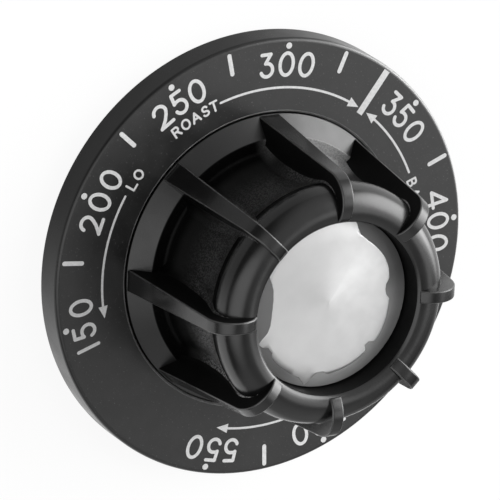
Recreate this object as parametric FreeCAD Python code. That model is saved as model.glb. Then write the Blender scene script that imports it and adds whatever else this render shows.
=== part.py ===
import FreeCAD, Part
import math
import os

# Oven control knob: a graduated dial skirt with an eight-ribbed grip that stands through its middle.
# All sizes are in millimetres. The knob's axis is Z and the grip points to +Z.
# Z = 0 is the plane of the skirt's back edge, and one rib lies on +Y.

KNOB_HEIGHT = 36.0        # from the skirt's back edge to the tops of the ribs

# Dial skirt
SKIRT_DIA = 85.7          # across the back edge of the rim
SKIRT_DEPTH = 5.9         # from the back edge to the printed face
RIM_DRAFT = 0.15          # how much each side narrows towards the face
RIM_WALL = 2.0
FACE_PLATE = 1.8          # thickness of the printed face
FACE_EDGE_ROUND = 0.8
HOLE_EDGE_BREAK = 0.35
HOLE_CLEARANCE = 0.25     # all round the grip's foot

# Grip, outside
FOOT_DIA = 56.8           # the foot that fills the skirt's hole
SHOULDER_DIA = 49.4       # the flat step inside the conical flank
SHOULDER_RISE = 2.9       # above the printed face
HUB_ROOT_DIA = 44.8       # the hub wall where it would meet the step without the fillet
HUB_ROOT_FILLET = 0.8
WAIST_RADIUS = 30.0       # hollow curve of the hub wall
LIP_DIA = 37.0            # centre circle of the round lip
LIP_ROUND = 4.45          # radius of the lip's section
LIP_DROP = 5.8            # from the tops of the ribs down to the centre of the lip's section
RECESS_DIA = 33.0
RECESS_EDGE_BREAK = 0.4
CAP_SEAT_DROP = 6.6       # from the tops of the ribs down to the floor of the recess

# Ribs
RIB_COUNT = 8
RIB_FOOT_SETBACK = 0.15   # inside the foot's edge
RIB_LEAN = 6.3            # degrees, the outer edge leans towards the axis
RIB_CROWN_RADIUS = 5.1    # the top edge curves over from the outer edge to the recess
RIB_CROWN_END = 150.0     # degrees from the outward direction, above the recess
RIB_CREST_WIDTH = 2.35    # at the top
RIB_DRAFT = 1.9           # degrees, each side
RIB_EDGE_ROUND = 0.35

# Grip, inside
FLANGE_THICKNESS = 1.5
FOOT_WALL = 3.2
SHOULDER_WALL = 2.8
HUB_WALL = 3.8            # from the hub's root to the hollow behind it
HOLLOW_TAPER = 0.5        # how much the hollow narrows to its end
SEAT_WALL = 2.4           # between the recess and the hollow
BOSS_WALL = 1.6
BOSS_BACK = 1.2           # height of the boss's end above the back edge
WEB_COUNT = 4
WEB_THICKNESS = 1.6
WEB_SETBACK = 2.0         # from the flange's back to the webs

# Shaft bush
SHAFT_DIA = 6.35
SHAFT_CLEARANCE = 0.025
SHAFT_FLAT = 2.385        # from the shaft's axis to its flat
BUSH_WALL = 1.8
BUSH_MOUTH_BREAK = 0.4
GUIDE_DEPTH = 6.0         # the round stretch at the mouth
POCKET_RELIEF = 0.2       # the keyed stretch is this much larger all round
POCKET_DEPTH = 9.0
BUSH_END_WALL = 1.5

# Leaf spring behind the shaft's flat
LEAF_THICKNESS = 0.4
LEAF_WIDTH = 3.0
LEAF_BOW = 0.55
LEAF_PRELOAD = 0.1        # how far it stands past the flat
LEAF_CLEARANCE = 0.15     # at its sides and ends
LEAF_SEAT_GAP = 0.02

# Cap disc
CAP_CLEARANCE = 0.25
CAP_EDGE_THICKNESS = 0.5
CAP_BEVEL_WIDTH = 2.7
CAP_BEVEL_RISE = 0.4
CAP_CROWN = 0.25

# Clamp screws and washers that hold the flange to the skirt
CLAMP_COUNT = 3
CLAMP_START = 30.0        # degrees from +X
RIM_CLEARANCE = 0.65      # between a washer and the rim
PILLAR_CLEARANCE = 0.4    # between a pillar and the flange's edge
FLANGE_SHARE = 0.37       # of the room behind the face that flange and pillar divide between them
WASHER_LAP = 1.2          # how far a washer reaches over the flange
WASHER_THICKNESS = 0.7
WASHER_CLEARANCE = 0.2    # round the shank
SCREW_SHARE = 0.434       # the shank's diameter for the pillar's diameter
SCREW_CLEARANCE = 0.03
SCREW_HEAD_RATIO = 2.08   # the head's diameter for the shank's diameter
SCREW_HEAD_HEIGHT = 1.4
SCREW_HEAD_BREAK = 0.5
SCREW_SLOT_WIDTH = 0.7
SCREW_SLOT_DEPTH = 0.7
PILOT_COVER = 0.9         # left between the pilot hole and the printed face
SCREW_END_GAP = 0.3

# Levels and radii that follow from the sizes above
V = FreeCAD.Vector
ORIGIN = V(0, 0, 0)
UP = V(0, 0, 1)

FACE_Z = SKIRT_DEPTH
PLATE_BACK = FACE_Z - FACE_PLATE
FLANGE_BACK = PLATE_BACK - FLANGE_THICKNESS
SHOULDER_Z = FACE_Z + SHOULDER_RISE
GRIP_TOP = KNOB_HEIGHT
LIP_Z = GRIP_TOP - LIP_DROP
SEAT_Z = GRIP_TOP - CAP_SEAT_DROP
HOLLOW_END = SEAT_Z - SEAT_WALL

FOOT_R = FOOT_DIA / 2
HOLE_R = FOOT_R + HOLE_CLEARANCE
HUB_ROOT_R = HUB_ROOT_DIA / 2
LIP_R = LIP_DIA / 2
RECESS_R = RECESS_DIA / 2
HOLLOW_R = HUB_ROOT_R - HUB_WALL
BORE_R = SHAFT_DIA / 2 + SHAFT_CLEARANCE
POCKET_R = BORE_R + POCKET_RELIEF
BUSH_R = POCKET_R + BUSH_WALL
BOSS_R = BUSH_R + BOSS_WALL
POCKET_START = BOSS_BACK + GUIDE_DEPTH
POCKET_END = POCKET_START + POCKET_DEPTH
BUSH_END = POCKET_END + BUSH_END_WALL
KEY_FLAT = SHAFT_FLAT + SHAFT_CLEARANCE

RIM_INNER_R = SKIRT_DIA / 2 - RIM_WALL
CLAMP_ROOM = RIM_INNER_R - RIM_CLEARANCE - WASHER_LAP - 2 * PILLAR_CLEARANCE - HOLE_R
FLANGE_LAP = CLAMP_ROOM * FLANGE_SHARE
FLANGE_R = HOLE_R + FLANGE_LAP
PILLAR_R = (CLAMP_ROOM - FLANGE_LAP) / 2
SCREW_R = PILLAR_R * SCREW_SHARE
SCREW_HEAD_R = SCREW_R * SCREW_HEAD_RATIO
CLAMP_CIRCLE_R = FLANGE_R + PILLAR_CLEARANCE + PILLAR_R
WASHER_R = PILLAR_R + PILLAR_CLEARANCE + WASHER_LAP
WASHER_BACK = FLANGE_BACK - WASHER_THICKNESS
PILOT_END = FACE_Z - PILOT_COVER


def at(r, z):
    """A point of a section, drawn in the XZ plane."""
    return V(r, 0, z)


def on_circle(centre, radius, degrees):
    """The point of a section's circle at an angle from its outward direction."""
    a = math.radians(degrees)
    return V(centre.x + radius * math.cos(a), 0, centre.z + radius * math.sin(a))


def arc(centre, radius, start, end):
    """An arc of a section from one angle to another."""
    ends = [on_circle(centre, radius, a) for a in (start, (start + end) / 2, end)]
    return Part.Arc(*ends).toShape()


def path(*points):
    """Straight edges from point to point."""
    return [Part.makeLine(a, b) for a, b in zip(points, points[1:])]


def turned(edges):
    """The solid that a closed section makes when it turns round the knob's axis."""
    return Part.Face(Part.Wire(edges)).revolve(ORIGIN, UP, 360)


def turned_outline(*points):
    """A turned solid whose section has straight edges only."""
    return turned(path(*points, points[0]))


def post(radius, low, high, x=0.0, y=0.0):
    """A round post between two levels."""
    return Part.makeCylinder(radius, high - low, V(x, y, low), UP)


def round_the_axis(shape, count, start=0.0):
    """Copies of a shape, evenly spaced round the axis."""
    copies = []
    for i in range(count):
        copy = shape.copy()
        copy.rotate(ORIGIN, UP, start + i * 360.0 / count)
        copies.append(copy)
    return copies


def dial_skirt():
    """The round face with its turned-down rim and the pillars on its back."""
    back_r = SKIRT_DIA / 2
    front_r = back_r - RIM_DRAFT
    edge_centre = at(front_r - FACE_EDGE_ROUND, FACE_Z - FACE_EDGE_ROUND)
    section = path(at(RIM_INNER_R, 0), at(back_r, 0), on_circle(edge_centre, FACE_EDGE_ROUND, 0))
    section.append(arc(edge_centre, FACE_EDGE_ROUND, 0, 90))
    section += path(
        on_circle(edge_centre, FACE_EDGE_ROUND, 90),
        at(HOLE_R + HOLE_EDGE_BREAK, FACE_Z),
        at(HOLE_R, FACE_Z - HOLE_EDGE_BREAK),
        at(HOLE_R, PLATE_BACK),
        at(RIM_INNER_R, PLATE_BACK),
        at(RIM_INNER_R, 0),
    )
    skirt = turned(section)
    pillar = post(PILLAR_R, FLANGE_BACK, PILOT_END, x=CLAMP_CIRCLE_R)
    pilot = post(SCREW_R + SCREW_CLEARANCE, FLANGE_BACK, PILOT_END, x=CLAMP_CIRCLE_R)
    skirt = skirt.fuse(round_the_axis(pillar, CLAMP_COUNT, CLAMP_START))
    return skirt.cut(round_the_axis(pilot, CLAMP_COUNT, CLAMP_START)).removeSplitter()


def hub_blank():
    """Flange, foot, shoulder, waisted wall and round lip, still solid."""
    root = at(HUB_ROOT_R, SHOULDER_Z)
    lip = at(LIP_R, LIP_Z)
    reach = WAIST_RADIUS + LIP_ROUND
    span = (lip - root).Length
    along = (span**2 + WAIST_RADIUS**2 - reach**2) / (2 * span)
    across = math.sqrt(WAIST_RADIUS**2 - along**2)
    way = (lip - root).normalize()
    outward = V(way.z, 0, -way.x)
    waist = root + way * along + outward * across
    fillet_z = SHOULDER_Z + HUB_ROOT_FILLET
    fillet_reach = math.sqrt((WAIST_RADIUS - HUB_ROOT_FILLET)**2 - (fillet_z - waist.z)**2)
    fillet = at(waist.x - fillet_reach, fillet_z)
    fillet_angle = math.degrees(math.atan2(fillet.z - waist.z, fillet.x - waist.x)) % 360
    lip_angle = math.degrees(math.atan2(lip.z - waist.z, lip.x - waist.x)) % 360
    inner_angle = 135.0
    section = path(
        at(0, FLANGE_BACK),
        at(FLANGE_R, FLANGE_BACK),
        at(FLANGE_R, PLATE_BACK),
        at(FOOT_R, PLATE_BACK),
        at(FOOT_R, FACE_Z),
        at(SHOULDER_DIA / 2, SHOULDER_Z),
        at(fillet.x, SHOULDER_Z),
    )
    section.append(arc(fillet, HUB_ROOT_FILLET, 270, fillet_angle))
    section.append(arc(waist, WAIST_RADIUS, fillet_angle, lip_angle))
    section.append(arc(lip, LIP_ROUND, lip_angle - 180, inner_angle))
    inner = on_circle(lip, LIP_ROUND, inner_angle)
    section += path(inner, at(0, inner.z), at(0, FLANGE_BACK))
    return turned(section)


def rib():
    """One rib along +X: leaning outer edge, curved crown, drafted sides, softened edges."""
    foot = at(FOOT_R - RIB_FOOT_SETBACK, FACE_Z)
    inner_r = RECESS_R - LIP_ROUND
    lean = math.radians(RIB_LEAN)
    crown_z = GRIP_TOP - RIB_CROWN_RADIUS
    crown_setback = (RIB_CROWN_RADIUS + (crown_z - FACE_Z) * math.sin(lean)) / math.cos(lean)
    crown = at(foot.x - crown_setback, crown_z)
    crown_start = on_circle(crown, RIB_CROWN_RADIUS, RIB_LEAN)
    crown_end = on_circle(crown, RIB_CROWN_RADIUS, RIB_CROWN_END)
    outline = path(at(inner_r, FACE_Z), foot, crown_start)
    outline.append(arc(crown, RIB_CROWN_RADIUS, RIB_LEAN, RIB_CROWN_END))
    outline += path(crown_end, at(inner_r, crown_end.z), at(inner_r, FACE_Z))
    half_top = RIB_CREST_WIDTH / 2
    half_foot = half_top + (GRIP_TOP - FACE_Z) * math.tan(math.radians(RIB_DRAFT))
    plate = Part.Face(Part.Wire(outline)).extrude(V(0, 2 * half_foot, 0))
    plate.translate(V(0, -half_foot, 0))
    wedge = Part.Face(Part.makePolygon([
        V(0, -half_foot, FACE_Z),
        V(0, half_foot, FACE_Z),
        V(0, half_top, GRIP_TOP),
        V(0, -half_top, GRIP_TOP),
        V(0, -half_foot, FACE_Z),
    ])).extrude(V(FOOT_R, 0, 0))
    blade = plate.common(wedge)
    rounded = []
    for edge in blade.Edges:
        middle = edge.valueAt((edge.FirstParameter + edge.LastParameter) / 2)
        at_a_side = abs(middle.y) > half_top / 2
        if at_a_side and middle.z > FACE_Z + RIB_EDGE_ROUND and middle.x > inner_r + RIB_EDGE_ROUND:
            rounded.append(edge)
    return blade.makeFillet(RIB_EDGE_ROUND, rounded)


def recess():
    """The space above the cap's seat, with the broken edge at the lip."""
    side = LIP_R - RECESS_R - RECESS_EDGE_BREAK
    edge_z = LIP_Z + math.sqrt(LIP_ROUND**2 - side**2)
    edge_r = RECESS_R + RECESS_EDGE_BREAK
    return turned_outline(
        at(0, SEAT_Z),
        at(RECESS_R, SEAT_Z),
        at(RECESS_R, edge_z - RECESS_EDGE_BREAK),
        at(edge_r, edge_z),
        at(edge_r, GRIP_TOP),
        at(0, GRIP_TOP),
    )


def hollow():
    """The hollow behind the grip: wide in the foot, then up inside the hub wall."""
    foot_r = FOOT_R - FOOT_WALL
    step_z = SHOULDER_Z - SHOULDER_WALL
    return turned_outline(
        at(0, FLANGE_BACK),
        at(foot_r, FLANGE_BACK),
        at(foot_r, step_z),
        at(HOLLOW_R, step_z),
        at(HOLLOW_R - HOLLOW_TAPER, HOLLOW_END),
        at(0, HOLLOW_END),
    )


def knob_body():
    """The moulded grip, one piece."""
    body = hub_blank().fuse(round_the_axis(rib(), RIB_COUNT, 90.0))
    body = body.cut([recess(), hollow()])
    into_seat = HOLLOW_END + SEAT_WALL / 2
    boss = post(BOSS_R, BOSS_BACK, into_seat)
    web_back = FLANGE_BACK + WEB_SETBACK
    web_reach = HOLLOW_R + HUB_WALL / 4
    web = Part.makeBox(web_reach, WEB_THICKNESS, into_seat - web_back, V(0, -WEB_THICKNESS / 2, web_back))
    body = body.fuse([boss] + round_the_axis(web, WEB_COUNT, 180.0 / WEB_COUNT))
    return body.cut(post(BUSH_R, BOSS_BACK, BUSH_END)).removeSplitter()


def leaf_back():
    """Where the leaf's ends rest, measured from the shaft's axis."""
    return KEY_FLAT - LEAF_PRELOAD + LEAF_THICKNESS + LEAF_BOW + LEAF_SEAT_GAP


def shaft_bush():
    """The metal bush: a round guide at the mouth, then a keyed pocket with a slot for the leaf spring."""
    bush = post(BUSH_R, BOSS_BACK, BUSH_END)
    mouth_r = BORE_R + BUSH_MOUTH_BREAK
    guide = turned_outline(
        at(0, BOSS_BACK),
        at(mouth_r, BOSS_BACK),
        at(BORE_R, BOSS_BACK + BUSH_MOUTH_BREAK),
        at(BORE_R, POCKET_START),
        at(0, POCKET_START),
    )
    key = Part.makeBox(
        2 * POCKET_R, POCKET_R + KEY_FLAT, POCKET_DEPTH, V(-POCKET_R, -KEY_FLAT, POCKET_START)
    )
    pocket = post(POCKET_R, POCKET_START, POCKET_END).common(key)
    slot_width = LEAF_WIDTH + 2 * LEAF_CLEARANCE
    slot = Part.makeBox(slot_width, leaf_back(), POCKET_DEPTH, V(-slot_width / 2, -leaf_back(), POCKET_START))
    return bush.cut([guide, pocket, slot])


def shaft_spring():
    """The bowed steel leaf that presses on the shaft's flat."""
    low = POCKET_START + LEAF_CLEARANCE
    high = POCKET_END - LEAF_CLEARANCE
    middle = (low + high) / 2
    back = LEAF_SEAT_GAP - leaf_back()
    front = back + LEAF_THICKNESS
    outline = Part.Wire([
        Part.Arc(V(0, back, low), V(0, back + LEAF_BOW, middle), V(0, back, high)).toShape(),
        Part.makeLine(V(0, back, high), V(0, front, high)),
        Part.Arc(V(0, front, high), V(0, front + LEAF_BOW, middle), V(0, front, low)).toShape(),
        Part.makeLine(V(0, front, low), V(0, back, low)),
    ])
    leaf = Part.Face(outline).extrude(V(LEAF_WIDTH, 0, 0))
    leaf.translate(V(-LEAF_WIDTH / 2, 0, 0))
    return leaf


def face_cap():
    """The spun disc in the recess: thin edge, bevelled border and a slightly crowned middle."""
    edge_r = RECESS_R - CAP_CLEARANCE
    edge_z = SEAT_Z + CAP_EDGE_THICKNESS
    flat_r = edge_r - CAP_BEVEL_WIDTH
    flat_z = edge_z + CAP_BEVEL_RISE
    return turned_outline(
        at(0, SEAT_Z),
        at(edge_r, SEAT_Z),
        at(edge_r, edge_z),
        at(flat_r, flat_z),
        at(0, flat_z + CAP_CROWN),
    )


def clamp_washer():
    """A flat washer on a pillar's end and the flange's back."""
    disc = post(WASHER_R, WASHER_BACK, FLANGE_BACK, x=CLAMP_CIRCLE_R)
    return disc.cut(post(SCREW_R + WASHER_CLEARANCE, WASHER_BACK, FLANGE_BACK, x=CLAMP_CIRCLE_R))


def clamp_screw():
    """A slotted pan head screw in a pillar's pilot hole."""
    head_back = WASHER_BACK - SCREW_HEAD_HEIGHT
    tip = PILOT_END - SCREW_END_GAP
    screw = turned_outline(
        at(0, head_back),
        at(SCREW_HEAD_R - SCREW_HEAD_BREAK, head_back),
        at(SCREW_HEAD_R, head_back + SCREW_HEAD_BREAK),
        at(SCREW_HEAD_R, WASHER_BACK),
        at(SCREW_R, WASHER_BACK),
        at(SCREW_R, tip),
        at(0, tip),
    )
    slot = Part.makeBox(
        2 * SCREW_HEAD_R, SCREW_SLOT_WIDTH, SCREW_SLOT_DEPTH, V(-SCREW_HEAD_R, -SCREW_SLOT_WIDTH / 2, head_back)
    )
    screw = screw.cut(slot)
    screw.translate(V(CLAMP_CIRCLE_R, 0, 0))
    return screw


def all_pieces():
    """Every piece of the knob by its name."""
    pieces = {
        "dial_skirt": dial_skirt(),
        "knob_body": knob_body(),
        "face_cap": face_cap(),
        "shaft_bush": shaft_bush(),
        "shaft_spring": shaft_spring(),
    }
    washers = round_the_axis(clamp_washer(), CLAMP_COUNT, CLAMP_START)
    screws = round_the_axis(clamp_screw(), CLAMP_COUNT, CLAMP_START)
    for i in range(CLAMP_COUNT):
        pieces[f"clamp_washer_{i + 1}"] = washers[i]
        pieces[f"clamp_screw_{i + 1}"] = screws[i]
    return pieces


os.makedirs("parts", exist_ok=True)
for name, shape in all_pieces().items():
    shape.exportStep(f"parts/{name}.step")
    print(f"{name}: {len(shape.Solids)} solid, {shape.Volume:.1f} mm3, valid {shape.isValid()}")
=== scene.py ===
import math

import bmesh
import bpy
from mathutils import Matrix, Quaternion, Vector


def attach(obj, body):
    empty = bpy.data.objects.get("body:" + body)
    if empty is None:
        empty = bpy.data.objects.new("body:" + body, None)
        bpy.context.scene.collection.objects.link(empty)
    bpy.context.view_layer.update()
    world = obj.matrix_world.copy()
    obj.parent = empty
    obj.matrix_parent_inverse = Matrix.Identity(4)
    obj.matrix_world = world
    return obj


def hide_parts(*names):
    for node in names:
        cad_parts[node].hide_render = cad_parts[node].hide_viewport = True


# Oven control knob: finish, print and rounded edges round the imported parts.
# Sizes in this file are millimetres and are turned into metres when a piece is finished.
# The knob's axis is Z, the grip points to +Z, and one rib lies on +Y.
# Angles round the axis are degrees from +X, counted as they are seen from the front.

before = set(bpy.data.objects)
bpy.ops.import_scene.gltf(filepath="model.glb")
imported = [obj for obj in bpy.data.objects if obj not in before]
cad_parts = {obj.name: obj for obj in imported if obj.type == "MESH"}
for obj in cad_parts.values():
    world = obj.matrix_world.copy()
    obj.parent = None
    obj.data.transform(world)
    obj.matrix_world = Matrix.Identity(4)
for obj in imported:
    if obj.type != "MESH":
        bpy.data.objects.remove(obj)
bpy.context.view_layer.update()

MM = 0.001
VERT, EDGE = bmesh.types.BMVert, bmesh.types.BMEdge
ROUND_STEPS = 240
CREASE_ANGLE = 32.0
MERGE_DISTANCE = 0.0005
NORMAL_WEIGHT = 80
# The rounding of most moulded edges, and of the finest ones
MOULD_ROUND = 0.2
FINE_ROUND = 0.1

# Skirt
SKIRT_R = 42.85
RIM_DRAFT = 0.15
RIM_INNER_R = 40.85
FACE_Z = 5.9
PLATE_BACK = 4.1
PLATE_FILLET = 0.3
FACE_EDGE_ROUND = 0.8
HOLE_R = 28.65
HOLE_BREAK = 0.35
HOLE_EDGE_ROUND = 0.12
FLANGE_BACK = 2.6
CLAMP_ANGLES = (30, 150, 270)
CLAMP_CIRCLE_R = 35.5918
PILLAR_R = 3.0083
PILLAR_SINK = 0.4
PILOT_R = 1.336
SKIRT_STEPS = 320
PILLAR_STEPS = 48
# How far under the face the rim's own finish starts, and how far out the hole's edge carries a painted
# highlight
RIM_FINISH_DEPTH = 0.12 * FACE_EDGE_ROUND
HOLE_HIGHLIGHT_REACH = 1.2 * HOLE_BREAK

# Grip
FLANGE_R = 32.1835
FLANGE_EDGE_ROUND = 0.25
FOOT_R = 28.4
SHOULDER_R = 24.7
SHOULDER_Z = 8.8
HUB_ROOT_R = 22.4
HUB_ROOT_FILLET = 0.8
WAIST_RADIUS = 30.0
LIP_R = 18.5
LIP_Z = 30.2
LIP_ROUND = 4.45
RECESS_R = 16.5
SEAT_Z = 29.4
RECESS_BREAK = 0.4
RECESS_EDGE_ROUND = 0.12
FOOT_HOLLOW_R = 25.2
FOOT_HOLLOW_Z = 6.0
FOOT_HOLLOW_FILLET = 0.5
HOLLOW_R = 18.6
HOLLOW_TAPER = 0.5
HOLLOW_END = 27.0
HOLLOW_FILLET = 0.8
HOLLOW_EDGE_ROUND = 0.3
BOSS_R = 6.8
BOSS_BACK = 1.2
BOSS_FILLET = 0.4
BUSH_R = 5.2
BUSH_END = 17.7
BUSH_EDGE_ROUND = 0.15
ROOT_STEPS, WALL_STEPS, LIP_STEPS = 10, 26, 40
# The wall's grain ends this far under the lip's centre, and the recess's dull wall this far beyond its radius
GRAIN_TOP_DROP = 3.2
RECESS_WALL_REACH = 0.05

# Webs between the boss and the hollow's wall, which reach into both
WEB_COUNT = 4
WEB_START = 45.0
WEB_THICKNESS = 1.6
WEB_BACK = 4.6
WEB_END = HOLLOW_END + 0.6
WEB_INNER_R = BUSH_R + 0.6
WEB_OUTER_R = HOLLOW_R + 0.8

# Ribs
RIB_COUNT = 8
RIB_START = 90.0
RIB_FOOT_R = 28.25
RIB_LEAN = 6.3
RIB_TOP = 36.0
RIB_CROWN_RADIUS = 5.1
RIB_CREST_WIDTH = 2.35
RIB_DRAFT = 1.9
RIB_EDGE_ROUND = 0.35
CROWN_STEPS = 28
# The part of a rib that lies within the foot, the hub wall and the lip
RIB_TOE_R = 26.0
RIB_BASE_R = 25.4
RIB_BASE_Z = 7.0
RIB_BURIED_R = 19.4
RIB_BURIED_Z = 27.5
RIB_END_RISE = 3.6
RIB_HEEL_SET_BACK = 0.3
RIB_HEEL_RISE = 1.0
# What counts as a corner of a rib, and the lowest edge of its crown over the lip's centre
RIB_CORNER_ANGLE = 50
RIB_CROWN_RISE = 4.0
# How far a face of a rib's rounded edge turns to the side where it carries a lighter painted highlight
RIB_HIGHLIGHT_TURN = (0.3, 0.85)
# The ribs whose flat sides have lost their gloss
DULL_RIBS = (0, 90, 135, 225, 270)
FLAT_SIDE = 0.95

# The hollow corner beside a rib: full up to one height, then fading out to its least share on the lip
RIB_ROOT_FILLET = 2.3
RIB_ROOT_FULL_Z = 18.0
RIB_ROOT_LEAST = 0.03
RIB_ROOT_LAYERS = 26
RIB_ROOT_STEPS = 8
FOOT_SINK = 0.2
RIB_SINK = 0.4
WALL_SINK = 0.6

# Cap
CAP_R = 16.25
CAP_EDGE = 0.5
CAP_FLAT_R = 13.55
CAP_BEVEL_RISE = 0.4
CAP_CROWN = 0.25
CAP_FOOT_ROUND = 0.05
FOIL_LIFT = 0.04


def direction(azimuth, elevation):
    a, e = math.radians(azimuth), math.radians(elevation)
    return Vector((math.cos(a) * math.cos(e), math.sin(a) * math.cos(e), math.sin(e)))


def only(kind, geom):
    """The vertices or edges among what an operator gives back."""
    return [item for item in geom if isinstance(item, kind)]


def as_mesh(name, bm):
    mesh = bpy.data.meshes.new(name)
    bm.to_mesh(mesh)
    bm.free()
    return mesh


def in_scene(name, data):
    made = bpy.data.objects.new(name, data)
    bpy.context.scene.collection.objects.link(made)
    return made


def finished(name, bm, materials, replaces=(), crease=CREASE_ANGLE, merge=MERGE_DISTANCE):
    """Turns a bmesh in millimetres into a piece of the knob, in metres at its own place."""
    if merge:
        bmesh.ops.remove_doubles(bm, verts=bm.verts, dist=merge)
    bmesh.ops.recalc_face_normals(bm, faces=bm.faces)
    bmesh.ops.scale(bm, vec=(MM, MM, MM), verts=bm.verts)
    mesh = as_mesh(name, bm)
    for material in materials:
        mesh.materials.append(material)
    mesh.shade_smooth()
    mesh.set_sharp_from_angle(angle=math.radians(crease))
    piece = in_scene(name, mesh)
    even = piece.modifiers.new("even_normals", "WEIGHTED_NORMAL")
    even.keep_sharp = True
    even.weight = NORMAL_WEIGHT
    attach(piece, "root")
    if replaces:
        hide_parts(*replaces)
    return piece


def bow(cx, cy, rx, ry, start, end, steps=14):
    """Points along an oval, from one angle to another."""
    points = []
    for i in range(steps + 1):
        a = math.radians(start + (end - start) * i / steps)
        points.append((cx + rx * math.cos(a), cy + ry * math.sin(a)))
    return points


def arc_points(cx, cz, radius, start, end, steps):
    """Points along an arc of a section, from one angle to another."""
    return bow(cx, cz, radius, radius, start, end, steps)


def eased(points, steps=4):
    """A section whose corners with a third number are rounded to that radius."""
    result = []
    count = len(points)
    for i, point in enumerate(points):
        radius = point[2] if len(point) > 2 else 0
        here = Vector(point[:2])
        if not radius:
            result.append(tuple(here))
            continue
        before = Vector(points[i - 1][:2]) - here
        after = Vector(points[(i + 1) % count][:2]) - here
        half = before.angle(after) / 2
        before.normalize()
        after.normalize()
        reach = radius / math.tan(half)
        start = here + before * reach
        end = here + after * reach
        centre = here + (before + after).normalized() * (radius / math.sin(half))
        a0 = math.atan2(start.y - centre.y, start.x - centre.x)
        turn = math.atan2(end.y - centre.y, end.x - centre.x) - a0
        turn = (turn + math.pi) % (2 * math.pi) - math.pi
        for k in range(steps + 1):
            a = a0 + turn * k / steps
            result.append((centre.x + radius * math.cos(a), centre.y + radius * math.sin(a)))
    return result


def spun(bm, section, closed=True, steps=ROUND_STEPS, centre=(0.0, 0.0)):
    """Turns a section of (radius, height) points round the knob's axis, or round an axis beside it."""
    cx, cy = centre
    verts = [bm.verts.new((cx + r, cy, z)) for r, z in section]
    edges = [bm.edges.new(pair) for pair in zip(verts, verts[1:])]
    if closed:
        edges.append(bm.edges.new((verts[-1], verts[0])))
    bmesh.ops.spin(bm, geom=verts + edges, cent=(cx, cy, 0), axis=(0, 0, 1), angle=2 * math.pi,
                   steps=steps, use_merge=True)


def turned_copies(bm, count, start):
    """Repeats all that a bmesh holds round the axis, the first copy turned by the start angle."""
    first = bm.verts[:] + bm.edges[:] + bm.faces[:]
    for i in range(1, count):
        copy = bmesh.ops.duplicate(bm, geom=first)["geom"]
        turn = Matrix.Rotation(2 * math.pi * i / count, 3, "Z")
        bmesh.ops.rotate(bm, cent=(0, 0, 0), matrix=turn, verts=only(VERT, copy))
    turn = Matrix.Rotation(math.radians(start), 3, "Z")
    bmesh.ops.rotate(bm, cent=(0, 0, 0), matrix=turn, verts=bm.verts)


# Materials

PLASTIC_IOR = 1.65
# Most of a noise lies between these values
NOISE_MIDDLE = (0.3, 0.7)
# Plastic: the size and range of its uneven gloss and tone, its dust and its shallow waves
SHEEN_MM = 6.0
SHEEN_RANGE = (-0.04, 0.05)
MOTTLE_MM = 2.5
MOTTLE_NOISE = (0.35, 0.7)
MOTTLE_SHARES = (0.8, 1.25)
DUST_MM = 0.32
DUST_NOISE = (0.68, 0.8)
DUST_TONE = 0.16
WAVE_MM = 1.6
WAVE_DEPTH = 0.01
# Sides of the knob, as toward() takes them: azimuth, far and near distance in degrees, and the shares there.
# The first two put painted light on the hub wall, where the second and the main light fall. The third puts a
# painted highlight on the rim's edge
SECOND_LIGHT_PATCH_SIDE = (252, 26, 12, 0.25, 1.0)
MAIN_LIGHT_PATCH_SIDE = (106, 40, 22, 0.0, 0.75)
RIM_HIGHLIGHT_SIDE = (68, 55, 25, 0.0, 1.0)
# Ranges of height, in metres: where the rim's painted highlight fades at its edge, where the foot ends under
# the hub wall, where the painted light on the main light's side turns black again, where the painted light on
# the second light's side comes in, and where the wall gets its gloss
RIM_HIGHLIGHT_EDGE = (0.0050, 0.0056)
FOOT_END = (0.0086, 0.0088)
MAIN_LIGHT_PATCH_END = (0.0105, 0.014)
SECOND_LIGHT_PATCH_START = (0.012, 0.024)
WALL_GLOSS = (0.0092, 0.0125)
# What stays of the rim's painted highlight under its edge, of the painted light high on the wall on the main
# light's side, and of the gloss at the wall's root and above it
RIM_HIGHLIGHT_REST = 0.08
MAIN_LIGHT_PATCH_REST = 0.1
ROOT_GLOSS_SHARE = 0.1
WALL_GLOSS_SHARE = 0.45
# The grey of the painted light on the hub wall, and the size, range and shares of the noise that breaks it up
PAINTED_LIGHT_TONE = 0.52
PAINTED_LIGHT_GRAIN_MM = 0.3
SECOND_LIGHT_PATCH_NOISE = (0.46, 0.57)
SECOND_LIGHT_PATCH_SHARES = (0.05, 1.0)
MAIN_LIGHT_PATCH_SHARES = (0.6, 1.0)
# Ink
INK_ROUGHNESS = 0.55
INK_SPECULAR = 0.3
INK_TONES = (0.72, 0.82)
INK_PATCH_MM = 0.5
INK_GRAIN_MM = 0.15
INK_GRAIN_DEPTH = 0.01
# Metal: its cloudy tone, also away from its painted highlight, how far its roughness strays from ring to
# ring, and the turn of its long reflections
CLOUD_MM = 3.0
CLOUD_SHARE = 0.93
OFF_HIGHLIGHT_CLOUD_SHARE = 0.97
RING_ROUGHNESS = 0.04
QUARTER_TURN = 0.25
# Painted highlights on the cap, as sides: the full tone within them, a duller one elsewhere
FACE_PAINTED_HIGHLIGHTS = ((88, 24, 5, 0.0, 1.0), (40, 115, 10, 0.0, 0.88))
RING_PAINTED_HIGHLIGHTS = ((-10, 75, 40, 0.0, 1.0),)


def new_material(name, roughness, metallic=0.0, specular=0.5):
    """A named material with its shader, ready for its textures."""
    material = bpy.data.materials.new(name)
    material.use_nodes = True
    shader = material.node_tree.nodes["Principled BSDF"]
    shader.inputs["Roughness"].default_value = roughness
    shader.inputs["Metallic"].default_value = metallic
    shader.inputs["Specular IOR Level"].default_value = specular
    shader.inputs["IOR"].default_value = PLASTIC_IOR
    return material, shader


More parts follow.
